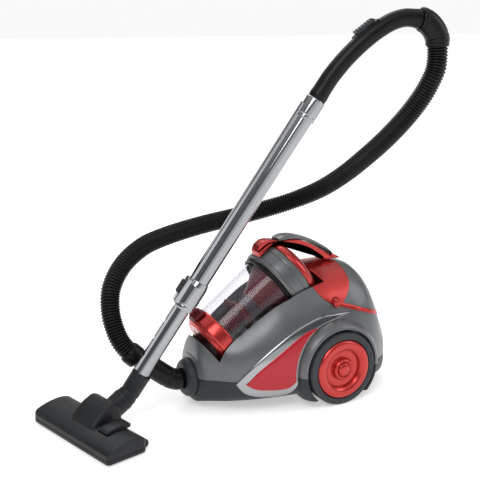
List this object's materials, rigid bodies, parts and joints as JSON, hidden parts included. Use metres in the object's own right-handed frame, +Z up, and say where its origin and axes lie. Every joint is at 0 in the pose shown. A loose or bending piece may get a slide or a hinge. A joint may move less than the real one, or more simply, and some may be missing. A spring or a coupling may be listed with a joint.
{
  "type": "canister vacuum cleaner",
  "caption": "Bagless canister vacuum cleaner on wheels with lift-out cyclone cup, hose, telescopic wand and floor head.",
  "frame": {"origin": "floor level, middle of the footprint measured without the hose", "axes": "-X is the canister's front with the hose inlet, +Y its right side, +Z up"},
  "size_m": [0.7373, 0.3583, 0.7521],
  "materials": {
    "shell_grey": "satin metallic grey",
    "charcoal": "satin",
    "tyre": "matte",
    "red_metallic": "satin metallic red",
    "red_gloss": "gloss",
    "dark_red": "satin",
    "chrome": "polished",
    "black_gloss": "gloss",
    "nozzle": "fine texture",
    "clear": "clear tinted polycarbonate, transmission 0.9",
    "foam": "matte",
    "steel": "brushed"
  },
  "bodies": {
    "chassis": {"base_shell": "charcoal", "upper_shell": "shell_grey", "motor_hood": "shell_grey", "red_saddle": "red_metallic", "exhaust_grille": "charcoal", "side_trim_left": "chrome", "side_panel_left": "red_gloss", "side_trim_right": "chrome", "side_panel_right": "red_gloss", "red_band": "red_metallic", "inlet_collar": "charcoal", "inlet_duct": "charcoal", "motor_housing": "charcoal", "exhaust_filter": "foam", "cord_outlet": "black_gloss", "rear_axle": "steel"},
    "reel": {"cord_reel": "charcoal"},
    "rotor": {"fan_and_rotor": "steel"},
    "power_button": {"power_button": "red_metallic"},
    "rewind_button": {"rewind_button": "red_metallic"},
    "wheel_left": {"tyre_left": "tyre", "rim_left": "red_metallic"},
    "wheel_right": {"tyre_right": "tyre", "rim_right": "red_metallic"},
    "caster_fork": {"caster_fork": "charcoal"},
    "caster_wheel": {"caster_wheel": "tyre"},
    "cup_tank": {"cup_tube": "clear", "cup_ring": "red_metallic", "collar_seal": "black_gloss", "cup_collar": "shell_grey", "cup_lid": "red_metallic", "cyclone_cone": "dark_red", "cyclone_screen": "foam", "cyclone_core": "dark_red", "cup_filter": "foam", "handle_arch": "red_metallic", "handle_grip": "shell_grey"},
    "cup_release": {"cup_release": "red_metallic"},
    "lid_clip": {"lid_clip": "red_metallic"},
    "door_latch": {"door_latch": "dark_red"},
    "cup_door": {"cup_door": "red_metallic"},
    "hose_set": {"hose_elbow": "black_gloss", "hose_cuff": "black_gloss", "hose": "black_gloss", "hose_swivel": "black_gloss"},
    "handle": {"handle_tube": "black_gloss", "upper_tube": "chrome", "lock_sleeve": "chrome"},
    "suction_slider": {"suction_slider": "charcoal"},
    "lock_button": {"lock_button": "charcoal"},
    "lower_tube": {"lower_tube": "chrome", "neck_socket": "nozzle"},
    "neck": {"neck_elbow": "nozzle"},
    "floor_head": {"head_shell": "nozzle", "sole_plate": "steel"},
    "roller_left": {"roller_left": "tyre"},
    "roller_right": {"roller_right": "tyre"},
    "brush": {"brush_strip": "foam"},
    "pedal": {"pedal": "nozzle"}
  },
  "joints": [
    {"name": "wheel_left_spin", "type": "hinge", "parent": "chassis", "child": "wheel_left", "pos_m": [0.19268, -0.11325, 0.0725], "axis": [0, 1, 0], "continuous": true},
    {"name": "wheel_right_spin", "type": "hinge", "parent": "chassis", "child": "wheel_right", "pos_m": [0.19268, 0.14675, 0.0725], "axis": [0, 1, 0], "continuous": true},
    {"name": "caster_swivel", "type": "hinge", "parent": "chassis", "child": "caster_fork", "pos_m": [0.02769, 0.01675, 0.03], "axis": [0, 0, 1], "continuous": true},
    {"name": "caster_spin", "type": "hinge", "parent": "caster_fork", "child": "caster_wheel", "pos_m": [0.03968, 0.01675, 0.014], "axis": [0, 1, 0], "continuous": true},
    {"name": "reel_spin", "type": "hinge", "parent": "chassis", "child": "reel", "pos_m": [0.27069, 0.01675, 0.033], "axis": [0, 0, 1], "continuous": true},
    {"name": "rotor_spin", "type": "hinge", "parent": "chassis", "child": "rotor", "pos_m": [0.25268, 0.01675, 0.112], "axis": [1, 0, 0], "continuous": true},
    {"name": "power_press", "type": "slide", "parent": "chassis", "child": "power_button", "axis": [0, 1, 0], "range_m": [0, 0.003], "stiffness_N_per_m": 400},
    {"name": "rewind_press", "type": "slide", "parent": "chassis", "child": "rewind_button", "axis": [0, -1, 0], "range_m": [0, 0.003], "stiffness_N_per_m": 400},
    {"name": "cup_lift", "type": "slide", "parent": "chassis", "child": "cup_tank", "axis": [-0.5678, 0, 0.8231], "range_m": [0, 0.06]},
    {"name": "cup_release_pull", "type": "slide", "parent": "cup_tank", "child": "cup_release", "axis": [1, 0, 0], "range_m": [0, 0.004], "stiffness_N_per_m": 300},
    {"name": "lid_clip_hinge", "type": "hinge", "parent": "cup_tank", "child": "lid_clip", "pos_m": [0.11568, 0.01675, 0.309], "axis": [0, 1, 0], "range_deg": [0, 25], "stiffness_Nm_per_rad": 0.2},
    {"name": "door_latch_hinge", "type": "hinge", "parent": "cup_tank", "child": "door_latch", "pos_m": [-0.04214, 0.01675, 0.18628], "axis": [0, 1, 0], "range_deg": [0, 18], "stiffness_Nm_per_rad": 0.2},
    {"name": "cup_door_hinge", "type": "hinge", "parent": "cup_tank", "child": "cup_door", "pos_m": [0.01661, 0.01675, 0.06766], "axis": [0, -1, 0], "range_deg": [0, 15]},
    {"name": "hose_inlet_swivel", "type": "hinge", "parent": "chassis", "child": "hose_set", "pos_m": [-0.06932, 0.01675, 0.057], "axis": [1, 0, 0], "range_deg": [-2, 8]},
    {"name": "handle_swivel", "type": "hinge", "parent": "hose_set", "child": "handle", "pos_m": [0.3191, -0.15091, 0.7305], "axis": [-0.9499, 0.2623, 0.1701], "range_deg": [0, 25]},
    {"name": "suction_slide", "type": "slide", "parent": "handle", "child": "suction_slider", "axis": [0.7711, -0.2129, 0.6], "range_m": [-0.008, 0.008]},
    {"name": "lock_press", "type": "slide", "parent": "handle", "child": "lock_button", "axis": [0.8051, -0.2223, -0.55], "range_m": [0, 0.002], "stiffness_N_per_m": 500},
    {"name": "wand_telescope", "type": "slide", "parent": "handle", "child": "lower_tube", "axis": [-0.5301, 0.1464, -0.8352], "range_m": [0, 0.25]},
    {"name": "neck_swivel", "type": "hinge", "parent": "lower_tube", "child": "neck", "pos_m": [-0.21111, -0.00815, 0.0553], "axis": [0.8661, 0.2121, 0.4527], "range_deg": [-45, 45]},
    {"name": "neck_tilt", "type": "hinge", "parent": "neck", "child": "floor_head", "pos_m": [-0.271, -0.02281, 0.024], "axis": [-0.247, 0.969, 0], "range_deg": [-18, 10]},
    {"name": "roller_left_spin", "type": "hinge", "parent": "floor_head", "child": "roller_left", "pos_m": [-0.2187, -0.10855, 0.008], "axis": [-0.247, 0.969, 0], "continuous": true},
    {"name": "roller_right_spin", "type": "hinge", "parent": "floor_head", "child": "roller_right", "pos_m": [-0.26612, 0.0775, 0.008], "axis": [-0.247, 0.969, 0], "continuous": true},
    {"name": "pedal_rock", "type": "hinge", "parent": "floor_head", "child": "pedal", "pos_m": [-0.2615, -0.08437, 0.034], "axis": [0.247, -0.969, 0], "range_deg": [0, 5]},
    {"name": "brush_lift", "type": "slide", "parent": "floor_head", "child": "brush", "axis": [0, 0, 1], "range_m": [0, 0.0036]}
  ],
  "couplings": [
    {"joint": "cup_door_hinge", "follows": "cup_lift", "rad_per_m": 4.2},
    {"joint": "brush_lift", "follows": "pedal_rock", "m_per_rad": 0.0401}
  ]
}
